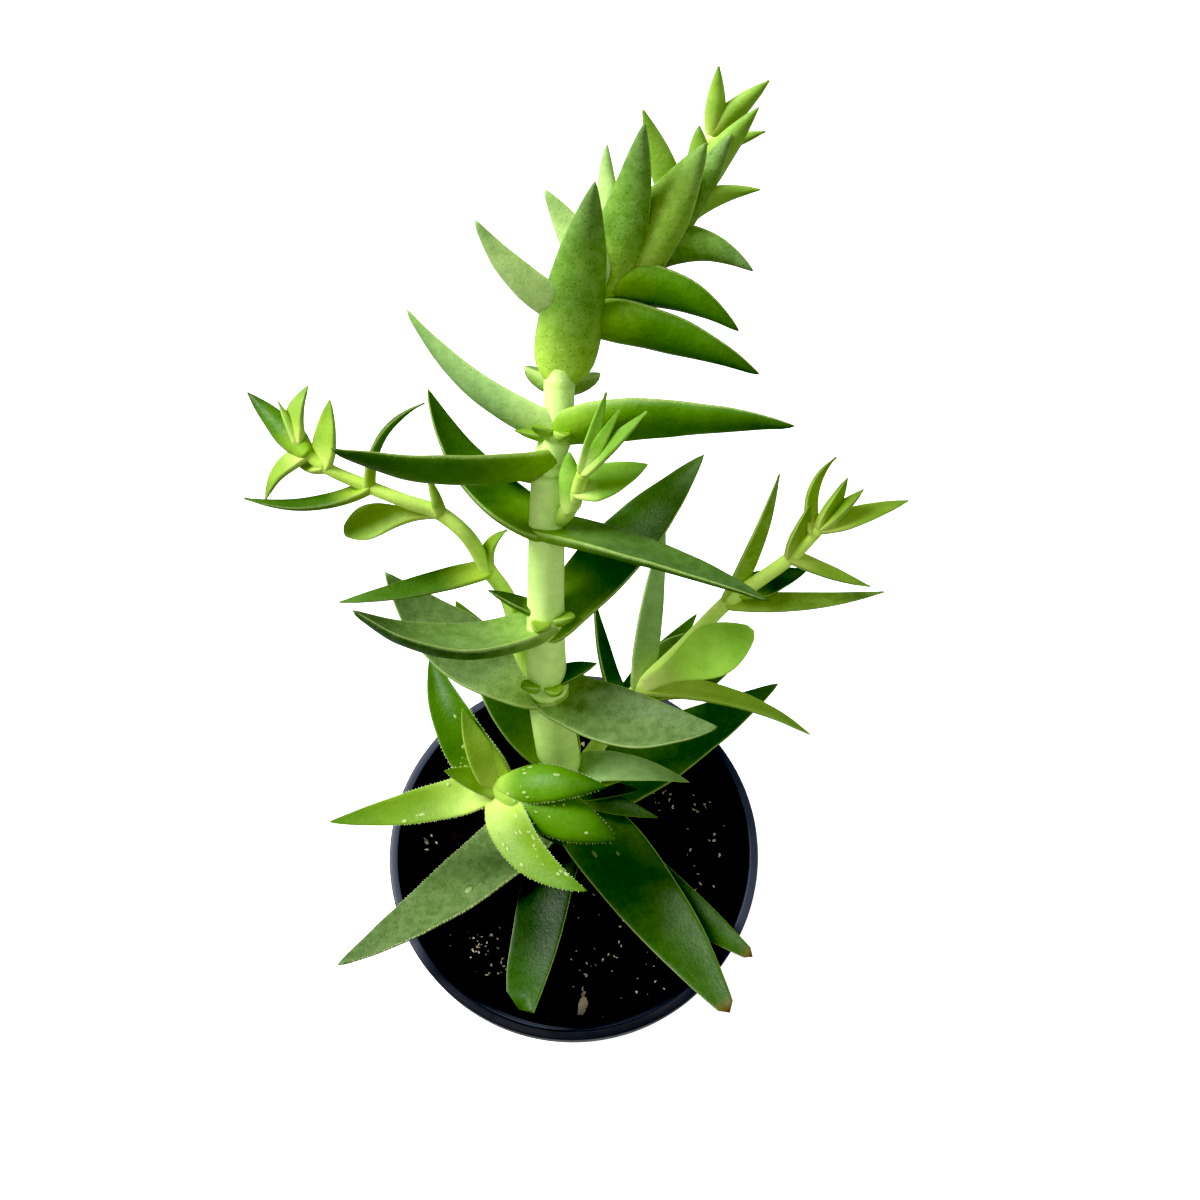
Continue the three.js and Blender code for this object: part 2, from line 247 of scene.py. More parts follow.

# %% [markdown]
# ## Skin of leaves and stems
# A crassula leaf is a bag of water under a waxy skin. Three things make it look alive: light that
# scatters inside it, so it glows at thin edges; a grey-green bloom of wax that dulls the gloss in
# patches; and rows of tiny tooth-like bumps on a pale margin, which is painted lighter still along its upper
# crease as a painted highlight. Where a spot lies on its leaf matters for all of them, so the meshes carry
# that:
# the attribute blade holds across, along and upper or under side, finish holds the amounts of bloom, pores
# and teeth, and skin holds the colour that drifts along a leaf.

# %% Skin material
BLOOM = linear(170, 196, 140)
PORE = linear(24, 58, 16)
MARGIN_AND_HIGHLIGHT = linear(196, 222, 128)
TOOTH = linear(222, 238, 184)
GLOW_DEPTH = 1.6
PORE_SPACING = 0.85
LEAF_GLOSS, STEM_GLOSS = 0.4, 0.45


def skin_material(name, gloss):
    """Living skin, which light enters to the glow depth; gloss is the roughness of bare skin."""
    material, tree, shader, place = new_material(name)
    skin = add(tree, "ShaderNodeAttribute", attribute_name="skin").outputs["Color"]
    blade_vector = add(tree, "ShaderNodeAttribute", attribute_name="blade").outputs["Vector"]
    blade = add(tree, "ShaderNodeSeparateXYZ", {0: blade_vector}).outputs
    finish_vector = add(tree, "ShaderNodeAttribute", attribute_name="finish").outputs["Vector"]
    bloom, pores, teeth = add(tree, "ShaderNodeSeparateXYZ", {0: finish_vector}).outputs
    patch, fine = cloud(tree, place, 9 * MM, 0.8 * MM)
    drift = blend(tree, patch, (0.45, 0.5, 0.3, 1), (1.35, 1.25, 1.3, 1))
    colour = blend(tree, 0.2, skin, drift, "MULTIPLY")
    mottle, _ = cloud(tree, place, 2.6 * MM, 1.0 * MM)
    mottling = blend(tree, mottle, (0.6, 0.66, 0.5, 1), (1.3, 1.22, 1.2, 1))
    colour = blend(tree, ramp(tree, pores, 0.1, 0.7, 0.12, 0.42), colour, mottling, "MULTIPLY")
    wax = times(tree, bloom, ramp(tree, mottle, 0.0, 1.0, 0.45, 0.8))
    wax = times(tree, wax, ramp(tree, fine, 0.0, 1.0, 0.7, 1.0))
    colour = blend(tree, times(tree, wax, 0.55), colour, (*BLOOM, 1))
    pore = times(tree, specks(tree, place, PORE_SPACING * MM, 0.27, 0.8), pores)
    colour = blend(tree, times(tree, pore, 0.7), colour, (*PORE, 1))
    edge = add(tree, "ShaderNodeMath", {0: blade[0]}, operation="ABSOLUTE").outputs["Value"]
    above = ramp(tree, blade[2], -0.25, 0.0)
    # The pale margin is partly the leaf's own colour and partly a painted highlight, laid only on the upper
    # side along the crease.
    margin_and_highlight = times(tree, ramp(tree, edge, 0.93, 0.99), above)
    colour = blend(tree, times(tree, margin_and_highlight, 0.32), colour, (*MARGIN_AND_HIGHLIGHT, 1))
    tooth = times(tree, specks(tree, place, 0.7 * MM, 0.42, 0.9), ramp(tree, edge, 0.965, 0.99))
    colour = blend(tree, times(tree, tooth, teeth), colour, (*TOOTH, 1))
    tree.links.new(colour, shader.inputs["Base Color"])
    rough = times(tree, gloss, times(tree, wax, 0.35), "ADD")
    rough = times(tree, rough, ramp(tree, fine, 0, 1, -0.04, 0.06), "ADD")
    tree.links.new(rough, shader.inputs["Roughness"])
    relief = times(tree, fine, times(tree, pore, -0.8), "ADD")
    bump = add(tree, "ShaderNodeBump", {"Strength": 0.35, "Distance": 0.12 * MM, "Height": relief})
    tree.links.new(bump.outputs["Normal"], shader.inputs["Normal"])
    shader.inputs["Subsurface Weight"].default_value = 0.2
    shader.inputs["Subsurface Radius"].default_value = (1.0, 1.0, 0.2)
    shader.inputs["Subsurface Scale"].default_value = GLOW_DEPTH * MM
    shader.inputs["IOR"].default_value = 1.42
    shader.inputs["Specular IOR Level"].default_value = 0.2
    return material


leaf_skin = skin_material("leaf_skin", LEAF_GLOSS)
stem_skin = skin_material("stem_skin", STEM_GLOSS)
print("nodes in a skin:", len(leaf_skin.node_tree.nodes))

# %% [markdown]
# ## Paints
# A leaf is palest where it leaves the stem, greenest past its middle and often duskier at its tip, and
# its underside differs again. Each paint below names those four colours, how much wax, pores and teeth
# the leaf has, and how deep the channel along its upper side is. Young leaves are fresh yellow-green, the
# old ones at the foot deep green, and those that stand in full light wear a grey bloom. The stems are
# paler than any leaf, so one factor takes all the leaves' colours down against theirs.

# %% Paints
PAINTS = {
    # name: (root, blade, tip, underside), bloom, pores, teeth, channel, how far the root's colour reaches
    "fresh": ((204, 228, 106), (142, 182, 54), (108, 152, 42), (146, 190, 68), 0.1, 0.15, 0.15, 0.22, 0.5),
    "lime": ((204, 236, 108), (112, 152, 34), (76, 120, 20), (116, 158, 34), 0.05, 0.1, 1.0, 0.26, 0.5),
    "bright": ((236, 252, 150), (188, 244, 98), (150, 212, 72), (190, 244, 104), 0.05, 0.1, 0.2, 0.22, 0.5),
    "toothed": ((160, 198, 68), (66, 112, 6), (56, 100, 6), (60, 104, 6), 0.03, 0.1, 1.0, 0.4, 0.4),
    "rosette": ((184, 220, 92), (72, 122, 14), (28, 70, 4), (88, 138, 24), 0.05, 0.25, 0.8, 0.2, 0.36),
    "mature": ((146, 192, 52), (40, 72, 2), (42, 76, 8), (74, 122, 16), 0.06, 0.4, 0.15, 0.22, 0.52),
    "narrow": ((168, 204, 62), (58, 100, 4), (76, 118, 28), (84, 132, 24), 0.06, 0.25, 0.15, 0.2, 0.4),
    "dark": ((120, 166, 42), (46, 84, 4), (66, 106, 24), (78, 126, 26), 0.08, 0.4, 0.15, 0.26, 0.42),
    "lower": ((120, 166, 42), (60, 104, 6), (72, 114, 24), (78, 128, 24), 0.08, 0.4, 0.15, 0.26, 0.42),
    "deep": ((84, 128, 40), (44, 82, 8), (54, 90, 20), (46, 86, 16), 0.06, 0.5, 0.15, 0.22, 0.42),
    "stub": ((14, 42, 2), (14, 46, 2), (52, 92, 20), (28, 60, 8), 0.06, 0.5, 0.4, 0.22, 0.42),
    "basal": ((88, 126, 38), (74, 104, 42), (78, 106, 56), (46, 80, 20), 0.4, 0.9, 0.9, 0.24, 0.4),
    "frost": ((150, 190, 70), (108, 142, 74), (92, 126, 62), (112, 154, 58), 0.4, 0.75, 0.15, 0.26, 0.42),
    "slate": ((120, 162, 54), (82, 112, 50), (72, 104, 46), (72, 112, 34), 0.38, 0.75, 0.15, 0.26, 0.42),
    "dusk": ((120, 168, 42), (58, 96, 16), (44, 80, 16), (56, 98, 20), 0.2, 0.5, 0.15, 0.24, 0.42),
    "canoe": ((144, 186, 74), (96, 132, 54), (40, 78, 18), (36, 76, 12), 0.34, 0.6, 0.15, 0.4, 0.42),
    "silver": ((186, 220, 120), (144, 184, 108), (110, 152, 72), (146, 188, 108), 0.3, 0.4, 0.15, 0.2, 0.4),
    # The next paint is far paler than these leaves' own green: a painted glow for light shining through them
    # from behind.
    "pale": ((232, 252, 168), (208, 246, 148), (140, 184, 104), (208, 246, 148), 0.12, 0.4, 0.15, 0.2, 0.42),
    "sprout": ((208, 242, 124), (122, 176, 46), (110, 164, 44), (136, 186, 62), 0.2, 0.2, 0.15, 0.2, 0.42),
    "glow": ((192, 226, 92), (134, 174, 52), (100, 140, 60), (138, 180, 58), 0.25, 0.5, 0.15, 0.2, 0.4),
    "face": ((180, 226, 70), (100, 146, 34), (92, 128, 62), (104, 152, 36), 0.36, 0.7, 0.15, 0.2, 0.46),
}
LEAF_TONE = 0.85
PAINTS = {
    name: ([LEAF_TONE * Vector(linear(*c)) for c in row[:4]], Vector(row[4:7]), *row[7:])
    for name, row in PAINTS.items()
}
STEM_PAINTS = {
    # shoot: (foot, middle, top)
    "main_shoot": ((200, 250, 118), (218, 255, 150), (238, 255, 166)),
    "left_shoot": ((200, 240, 116), (204, 240, 112), (180, 218, 84)),
    "right_shoot": ((212, 246, 128), (222, 255, 130), (200, 240, 100)),
    "front_shoot": ((150, 190, 60), (166, 204, 76), (160, 200, 70)),
    "upper_side_shoot": ((204, 234, 120), (190, 226, 104), (176, 214, 84)),
}
STEM_PAINTS = {name: [Vector(linear(*c)) for c in row] for name, row in STEM_PAINTS.items()}
NODE_RING = Vector(linear(140, 180, 56))
print("paints:", len(PAINTS))

# %% [markdown]
# ## Stems and leaves as lists
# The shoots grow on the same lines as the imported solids, so their measures are repeated here in
# millimetres. A stem is points x, y, z with the radius there. A leaf is its place along the stem counted
# in points, the heading and rise of its tip in degrees, its length and width, its bow as a share of the
# length, its roll in degrees, then the kind of outline and the paint. A last number, on two leaves, is the
# sideways sweep as a share of the length.

# %% Measures of the shoots
MAIN_STEM = [
    (-2, 1, 60, 6),
    (-2, 6, 77, 6),
    (-3, 12, 95, 6),
    (-4, 18, 114, 5.9),
    (-6, 27, 140, 5.4),
    (-6, 36, 159, 4.7),
    (-5, 50, 184, 4.3),
    (-4, 60, 198, 3.7),
    (-2, 64, 204, 3.6),
    (-1, 73, 214, 3.4),
    (3, 81, 222, 3.1),
    (8, 85, 228, 2.8),
    (12, 87, 231, 2.5),
    (18, 89, 236, 2.2),
    (24, 93, 241, 1.9),
    (28, 99, 246, 1.6),
    (31, 106, 251, 1.3),
]
MAIN_LEAVES = [
    (2, -131, 12, 78, 20, 0.08, 4, "lance", "basal"),
    (1.8, -169, 5, 59, 15, 0.04, 0, "broken", "stub"),
    (2, 144, 8, 76, 20, 0.05, 10, "blunt", "deep", -0.03),
    (1.6, 130, 9, 68, 14, 0.03, 10, "blunt", "deep"),
    (1.8, 62, 9, 73, 21, 0.03, 10, "lance", "lower"),
    (3, -34, 7, 55, 20, 0.06, 0, "lance", "lower"),
    (2.6, 100, 17, 38, 9, -0.12, 20, "lance", "silver"),
    (2.6, 98, 24, 24, 10, 0, 30, "lance", "fresh"),
    (2.2, 96, 17, 23, 7, 0, 20, "lance", "mature"),
    (2.2, 111, 13, 30, 7, 0, 20, "lance", "mature"),
    (4, 111, 19, 48, 16.5, 0.12, 14, "broad", "slate"),
    (4, -57, 15, 53, 19, 0.15, -15, "broad", "frost"),
    (5, -98, 27, 49.5, 14.5, 0.165, 8, "broad", "canoe"),
    (5, 44, 15, 60, 16, 0.02, 15, "broad", "dark"),
    (6, 117, 12, 57, 11.5, -0.03, 0, "lance", "dusk"),
    (6, -43, 19, 44, 13, 0.15, -10, "lance", "lower"),
    (7, -107, 28, 52, 14.5, 0.08, 40, "broad", "mature"),
    (6.8, -60, -35, 20, 12, 0, 0, "lance", "frost"),
    (8, 102, 18, 54.5, 14, -0.03, -45, "lance", "mature"),
    (8, -56, 20, 43.5, 12, 0.1, 45, "lance", "silver"),
    (9, 30, 70, 45, 14.5, -0.04, 0, "clasping", "face"),
    (8.8, 0, -48, 24, 18, 0, 0, "collar", "frost"),
    (10, 113, 2, 42, 12, -0.05, -50, "lance", "mature"),
    (10, -74, 47, 32, 11.5, 0.08, 35, "collar", "pale"),
    (11, 39, 69, 37, 12, -0.03, 35, "clasping", "face"),
    (11, 115, 2, 32, 11, -0.1, -50, "lance", "mature"),
    (11, -53, 52, 24, 12, 0, 40, "lance", "pale"),
    (12, 67, 57, 33, 14, -0.03, 25, "clasping", "glow"),
    (12, 103, 12, 29, 10.5, -0.18, -50, "lance", "face"),
    (12, -13, 60, 26, 8, 0.05, 40, "lance", "pale"),
    (13, 59, 48, 28, 9, -0.03, 35, "lance", "face"),
    (13, 84, 30, 26, 7, -0.12, -30, "lance", "fresh"),
    (14, -42, 58, 22.5, 6.5, 0, 45, "lance", "fresh"),
    (14.3, 65, 51, 24, 7, -0.03, 0, "lance", "fresh"),
    (15, -5, 68, 10, 5.5, 0, 0, "lance", "fresh"),
    (15.6, 100, 28, 13, 3.5, 0, -20, "lance", "fresh"),
    (16, 76, 43, 15, 5, 0, -20, "lance", "fresh"),
    (16, 4, 70, 13, 4.5, 0, 0, "lance", "fresh"),
    (4.15, 84, 33, 15.5, 6, 0, 20, "lance", "dark"),
    (4.2, -165, 76, 7, 5, 0, 0, "bud", "fresh"),
    (5.15, -78, 27, 16, 5.5, 0, 0, "lance", "mature"),
    (5.15, 150, 70, 7, 5, 0, 0, "bud", "fresh"),
    (7.8, -94, 21, 10, 4, 0, 0, "lance", "fresh"),
    (8, -160, 74, 6.5, 4, 0, 0, "bud", "fresh"),
]
LEFT_STEM = [
    (-7, 28, 138, 1.9),
    (-12.5, 34, 144, 1.9),
    (-16, 45, 158, 2),
    (-20.5, 49, 166, 2),
    (-25, 52, 178, 1.9),
    (-31, 55, 183, 1.8),
    (-39, 56, 187, 1.7),
    (-47, 58, 190, 1.6),
    (-57, 61, 194, 1.4),
    (-63, 65, 197, 1.2),
]
LEFT_LEAVES = [
    (3, -104, -1, 38, 6.5, 0.02, -20, "lance", "narrow"),
    (3, 53, 59, 14, 4, -0.15, 40, "lance", "fresh"),
    (5, -94, -15, 25, 9, -0.06, -35, "spoon", "fresh"),
    (5, -22, 58, 10, 4.5, 0, 0, "lance", "fresh"),
    (7, -94, -3, 30, 4.5, 0.1, -20, "lance", "narrow"),
    (7, 54, 43, 26, 3.5, -0.16, 0, "lance", "narrow"),
    (8, 14, 46, 16, 6.5, 0, 60, "lance", "fresh"),
    (8, -63, -25, 10, 5, 0, 0, "lance", "fresh"),
    (8.6, -46, 13, 21, 6.5, 0, -160, "lance", "mature"),
    (9, 14, 30, 14, 6, -0.12, 50, "lance", "fresh"),
    (8.6, -125, -33, 16, 5, -0.13, -50, "lance", "fresh"),
    (9, -26, 30, 11, 3, 0, 0, "lance", "fresh"),
]
RIGHT_STEM = [
    (-2, 15, 98, 2.4),
    (7, 24, 106, 2.4),
    (14, 32, 114, 2.3),
    (19, 36, 120, 2.3),
    (30, 43, 131, 2.1),
    (42, 51, 144, 2),
    (50, 54, 151, 1.9),
    (57.5, 57, 158, 1.8),
    (64, 61, 166, 1.4),
]
RIGHT_LEAVES = [
    (3, 10, 38, 47, 8, 0.01, -40, "lance", "silver"),
    (3, 104, -7, 50, 7.5, -0.09, 15, "lance", "fresh"),
    (3, 88, 52, 45, 14, 0, 134, "spoon", "bright"),
    (3, 60, -6, 38, 19, 0.04, 10, "broad", "dusk"),
    (2, 38, 7, 36, 9, 0.03, 0, "lance", "dark"),
    (2, -18, 41, 33, 6, 0.04, -30, "lance", "dark"),
    (5, 27, 48, 38, 5, -0.03, -50, "lance", "glow"),
    (5, 88, 4, 42, 6, 0.04, 25, "lance", "glow"),
    (5.4, 72, 5, 19, 8, 0, 0, "lance", "mature"),
    (7, 109, -9, 22, 4.5, 0.02, 25, "lance", "fresh"),
    (7, 23, 62, 16, 6, 0, -60, "lance", "fresh"),
    (7.8, 17, 51, 21, 3.8, 0.16, -40, "lance", "fresh"),
    (8, 36, 53, 15, 5.5, 0, -40, "lance", "fresh"),
    (8, 63, 46, 15, 5, 0, 50, "lance", "fresh"),
    (8, 78, 14, 23, 6, 0, 25, "lance", "fresh"),
]
FRONT_STEM = [
    (-3, 10, 96, 2.3),
    (-9, 7, 105, 2.3),
    (-14, 6.5, 114, 2.2),
    (-19, 6, 124, 1.8),
]
FRONT_LEAVES = [
    (3, -102, -1, 46, 10.5, 0.06, -10, "lance", "lime"),
    (3, -86, 36, 17, 7.5, 0, 0, "lance", "lime"),
    (3, -30, 17, 40, 12.5, -0.16, 10, "lance", "toothed"),
    (3, -31, 47, 25.5, 8.5, -0.06, 45, "lance", "fresh"),
    (3, -62, 38, 14, 5, 0, 0, "lance", "fresh"),
    (2.6, -24, 31, 16, 6, 0, 0, "lance", "fresh"),
    (3, 141, 9, 38, 11.5, -0.06, 0, "lance", "lime", 0.13),
    (3, 98, 22, 31, 10.5, -0.14, 180, "broad", "rosette"),
    (3, 116, 3, 35, 14, -0.1, 180, "broad", "rosette"),
    (2.4, 134, -17, 20, 8, 0, 0, "lance", "mature"),
]
UPPER_SIDE_STEM = [
    (-3, 51, 185, 2),
    (0, 50, 192, 2),
    (2.5, 51.5, 199, 1.8),
    (4, 52.5, 205, 1.3),
]
UPPER_SIDE_LEAVES = [
    (1.3, 0, 63, 14, 6.5, 0, 90, "broad", "sprout"),
    (2, 77, 16, 17, 8.5, 0.03, 25, "lance", "sprout"),
    (3, 30, 60, 20, 3.4, 0, 0, "lance", "sprout"),
    (3, 55, 58, 18, 3.2, 0, 20, "lance", "sprout"),
    (3, 74, 50, 22, 3.8, 0, 20, "lance", "sprout"),
]
SHOOTS = {
    "main_shoot": (MAIN_STEM, MAIN_LEAVES),
    "left_shoot": (LEFT_STEM, LEFT_LEAVES),
    "right_shoot": (RIGHT_STEM, RIGHT_LEAVES),
    "front_shoot": (FRONT_STEM, FRONT_LEAVES),
    "upper_side_shoot": (UPPER_SIDE_STEM, UPPER_SIDE_LEAVES),
}
print("leaves:", sum(len(leaves) for _, leaves in SHOOTS.values()))

# %% [markdown]
# ## Following a stem
# Stems bend smoothly through their points. A Catmull-Rom curve does that, and the centripetal kind
# doesn't overshoot where points lie close together. The class below gives the place, the direction and
# the radius at any spot along a stem.

# %% A stem's curve
SMALL_STEP = 0.002


class StemPath:
    """The smooth line of a stem through its points, asked by place: 0 is the first point."""

    def __init__(self, points):
        self.spots = [Vector(p[:3]) for p in points]
        self.radii = [p[3] for p in points]
        self.last = len(points) - 1

    def point(self, place):
        place = min(max(place, 0), self.last)
        i = min(int(place), self.last - 1)
        u = place - i
        b, c = self.spots[i], self.spots[i + 1]
        a = self.spots[i - 1] if i > 0 else 2 * b - c
        d = self.spots[i + 2] if i + 2 <= self.last else 2 * c - b
        ab, bc, cd = (math.sqrt((q - p).length) for p, q in ((a, b), (b, c), (c, d)))
        start = ((b - a) / ab - (c - a) / (ab + bc) + (c - b) / bc) * bc
        end = ((c - b) / bc - (d - b) / (bc + cd) + (d - c) / cd) * bc
        square = -3 * b + 3 * c - 2 * start - end
        cube = 2 * b - 2 * c + start + end
        return b + start * u + square * u * u + cube * u**3

    def tangent(self, place):
        return (self.point(place + SMALL_STEP) - self.point(place - SMALL_STEP)).normalized()

    def radius(self, place):
        i = min(max(int(place), 0), self.last - 1)
        return self.radii[i] + (self.radii[i + 1] - self.radii[i]) * (place - i)


def smooth(low, high, value):
    """0 below low, 1 above high, smooth between."""
    t = min(1, max(0, (value - low) / (high - low)))
    return t * t * (3 - 2 * t)


print("foot of the main stem:", StemPath(MAIN_STEM).point(0))

# %% [markdown]
# ## A leaf from a ball
# A leaf is a closed, fleshy body, so a UV sphere is a good start: its poles become the root and the tip,
# and its rings become the leaf's sections. Each vertex is moved to where the leaf's own shape has it:
# along a bowed midline, out to an outline that swells and narrows, with a shallow channel on the upper
# side and a deeper belly below. That is one operator and one formula, for every leaf of the plant. The
# outline's neck, above 1, keeps a leaf slim for longer before it widens, as on the spoon-like one.

# %% Shape of a leaf
OUTLINES = {
    # name: (width at the root as a share of the full width, place of the widest point, end, neck)
    "lance": (0.72, 0.24, 1, 1),
    "clasping": (0.94, 0.15, 1, 1),
    "collar": (0.36, 0.26, 1, 1),
    "broad": (0.6, 0.38, 1, 1),
    "blunt": (0.7, 0.28, 0.94, 1),
    "broken": (0.75, 0.35, 0.8, 1),
    "bud": (0.7, 0.3, 1, 1),
    "spoon": (0.3, 0.68, 0.97, 1.8),
}
LEAF_SIDES = 24
LEAF_RINGS = 40
MARGIN_ROUND = 0.8
EDGE_WAVE = 0.06
RIPPLE = 0.02
UPPER_SHARE, BELLY_SHARE = 0.3, 0.7
ROOT_ROUND = 0.45
CLASP = 1.42
BUD_OFFSET = 0.75
TIP_WIDTH = 0.35
BROWN = Vector(linear(104, 78, 40))


def rounded(value):
    """Presses a circle towards a square, so that a section has full, rounded margins."""
    return math.copysign(abs(value) ** MARGIN_ROUND, value)


class Leaf:
    """Where any spot of one leaf lies: angle goes round its section, share from root to tip."""

    def __init__(self, path, row, seed):
        place, heading, rise, self.length, self.width, self.bow, roll, self.kind, paint, *sweep = row
        turn, climb = math.radians(heading), math.radians(rise)
        self.root = path.point(place)
        flat = math.cos(climb)
        self.chord = Vector((math.sin(turn) * flat, math.cos(turn) * flat, math.sin(climb)))
        stemward = path.tangent(place)
        self.stem_side = (stemward - self.chord * stemward.dot(self.chord)).normalized()
        self.face = Quaternion(self.chord, math.radians(roll)) @ self.stem_side
        self.aside = self.chord.cross(self.face)
        self.sweep = sweep[0] if sweep else 0
        self.dying = paint == "deep"
        self.colours, self.finish, self.channel, self.reach = PAINTS[paint]
        self.seed = seed
        self.thick = 2 + 0.17 * self.width
        self.shade = 1 + 0.08 * math.sin(7.3 * seed)
        self.root_width, self.widest, self.end, self.neck = OUTLINES[self.kind]
        half, stem_r = self.width / 2, path.radius(place)
        if self.kind == "bud":
            outward = self.chord - stemward * self.chord.dot(stemward)
            self.root += outward.normalized() * BUD_OFFSET * stem_r
        back = ROOT_ROUND * half
        if self.kind not in ("clasping", "collar", "spoon") and half > 0.85 * stem_r:
            # A wide leaf clasps the whole stem.
            self.root_width = max(self.root_width, min(1.05, CLASP * stem_r / half))
            back = 0.95 * stem_r
        elif self.kind != "clasping":
            back = min(back, 0.6 * stem_r)
        self.back = back / self.length

    def outline(self, share):
        root, widest, end = self.root_width, self.widest, self.end
        s = max(0, share * end)
        if s < widest:
            width = root + (1 - root) * (0.5 - 0.5 * math.cos(math.pi * s / widest)) ** self.neck
        else:
            width = max(0, math.cos(math.pi / 2 * (s - widest) / (1 - widest))) ** 0.85
        if end < 1:
            width *= math.sqrt(max(0, 1 - max(0, (share - 0.97) / 0.03) ** 2))
        if share < self.back:
            width *= math.sqrt(max(0, 1 - ((self.back - share) / (2 * self.back)) ** 2))
        return width, s

    def spot(self, angle, share):
        share = share * (1 + self.back) - self.back
        width, s = self.outline(share)
        half = max(TIP_WIDTH * (share < 0.99), self.width / 2 * width)
        thickness = self.thick * math.cos(1.35 * s) * min(1, 0.35 + half / 1.5)
        bend = self.aside * 4 * self.sweep - self.stem_side * 4 * self.bow
        along = (self.chord + bend * (1 - 2 * share)).normalized()
        over = (self.face - along * self.face.dot(along)).normalized()
        across = over.cross(along)
        x, y = rounded(math.cos(angle)), rounded(math.sin(angle))
        half *= 1 + EDGE_WAVE * noise.noise(Vector((4 * share, 2.5 * (x > 0), self.seed)))
        lift = thickness * y * (UPPER_SHARE if y > 0 else BELLY_SHARE)
        place = self.root + self.chord * self.length * share
        place += bend * self.length * share * (1 - share)
        place += across * half * x + over * (self.channel * half * x * x + lift)
        ripple = noise.noise(place * 0.11 + Vector((self.seed, 0, 0)))
        place += over * ripple * RIPPLE * self.width * smooth(0.1, 0.5, share)
        if self.kind == "broken":
            # The end snapped off, so it is cut aslant with a notch in it.
            place += self.chord * smooth(0.8, 1, share) * (3.5 * x - 4.2 + 4.2 * abs(x - 0.3))
        return place

    def colour(self, angle, share):
        root, blade, tip, under = self.colours
        side = blade.lerp(under, 1 - smooth(-0.3, 0.3, math.sin(angle)))
        mid = root.lerp(side, smooth(0.02, self.reach, share))
        mid = mid.lerp(tip, 0.85 * smooth(0.6, 1, share)) * self.shade
        return mid.lerp(BROWN, smooth(0.96, 0.99, share)) if self.dying else mid


print("outlines:", sorted(OUTLINES))


# %% Grow a leaf
def layers_of(bm):
    """The vertex attributes that the skin reads."""
    verts = bm.verts.layers
    return verts.float_color.new("skin"), verts.float_vector.new("blade"), verts.float_vector.new("finish")


def ball(bm, sides, rings):
    """A unit UV sphere's vertices, each with its angle and its share of the way from pole to pole."""
    made = bmesh.ops.create_uvsphere(bm, u_segments=sides, v_segments=rings, radius=1)["verts"]
    for vertex in made:
        x, y, z = vertex.co
        share = 1 - math.acos(max(-1, min(1, z))) / math.pi
        yield vertex, math.atan2(y, x), share, math.hypot(x, y) > 1e-4


def grow_leaf(bm, layers, leaf):
    """Adds one leaf to a mesh, with its colours."""
    skin, blade, finish = layers
    for vertex, angle, share, in_ring in ball(bm, LEAF_SIDES, LEAF_RINGS):
        if in_ring:
            vertex.co = leaf.spot(angle, share)
            across, side = math.cos(angle), math.sin(angle)
        else:
            vertex.co = (leaf.spot(0, share) + leaf.spot(math.pi, share)) / 2
            across, side = 0, 0
        vertex[skin] = (*leaf.colour(angle, share), 1)
        vertex[blade] = (across, share, side)
        vertex[finish] = leaf.finish


print("leaf faces:", LEAF_SIDES * LEAF_RINGS)

# %% [markdown]
# ## Stems
# A stem is made the same way: a ball stretched along the stem's line. At each node, where a pair of
# leaves sits, the real stem swells a little and shows a thin greener ring, and between nodes it is pale
# and almost smooth, with a few shallow ridges running up it.

# %% Shape of a stem
STEM_SIDES = 28
RING_EVERY = 0.9
NODE_SWELL = 0.04
NODE_WIDTH = 1.1
RING_WIDTH = 0.5
RING_TINT = 0.55
LENGTH_STEPS = 200
STEM_FINISH = (0.1, 0.12, 0)


def grow_stem(bm, layers, path, nodes, shoot):
    """Adds a stem with a ring at each node."""
    skin, blade, finish = layers
    spots = [path.point(i * path.last / LENGTH_STEPS) for i in range(LENGTH_STEPS + 1)]
    length = sum((b - a).length for a, b in zip(spots, spots[1:]))
    rings = [path.point(n) for n in nodes]
    foot, middle, top = STEM_PAINTS[shoot]
    for vertex, angle, share, in_ring in ball(bm, STEM_SIDES, round(length / RING_EVERY)):
        place = share * path.last
        centre, along = path.point(place), path.tangent(place)
        across = (Vector((1, 0, 0)) - along * along.x).normalized()
        over = along.cross(across)
        apart = min((centre - ring).length for ring in rings)
        swell = math.exp(-((apart / NODE_WIDTH) ** 2))
        ridges = 0.012 * math.sin(5 * angle + 9 * share) + 0.008 * math.sin(8 * angle)
        radius = path.radius(place) * (1 + NODE_SWELL * swell + ridges) * in_ring
        vertex.co = centre + across * radius * math.cos(angle) + over * radius * math.sin(angle)
        colour = foot.lerp(middle, smooth(0, 0.35, share)).lerp(top, smooth(0.6, 1, share))
        vertex[skin] = (*colour.lerp(NODE_RING, RING_TINT * math.exp(-((apart / RING_WIDTH) ** 2))), 1)
        vertex[blade] = (0, share, 0)
        vertex[finish] = STEM_FINISH


print("sides of a stem:", STEM_SIDES)


# %% From a mesh to a piece
def finish_piece(name, bm, material, slot, *nodes):
    """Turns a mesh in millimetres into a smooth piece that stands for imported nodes."""
    bmesh.ops.scale(bm, vec=(MM, MM, MM), verts=bm.verts)
    bmesh.ops.recalc_face_normals(bm, faces=bm.faces)
    piece = object_from(name, bm)
    piece.data.polygons.foreach_set("use_smooth", [True] * len(piece.data.polygons))
    piece.data.materials.append(material)
    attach(piece, "root")
    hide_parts(*nodes)
    print(name, "faces:", len(piece.data.polygons))


print("shoots to grow:", sorted(SHOOTS))

# %% [markdown]
# ## Teeth
# The name sharks tooth comes from the leaf margins: rows of stiff, clear little points. They are barely a
# third of a millimetre long, so each is a four-sided cone, and only the leaves that show them get them.

# %% Teeth
TOOTH_EVERY = 0.85
TOOTH_LONG = 0.42
TOOTH_R = 0.16
TOOTH_TIP_R = 0.02
TOOTH_SUNK = 0.1
FIRST_TOOTH, TOOTHED_PART = 0.1, 0.86
random.seed(11)


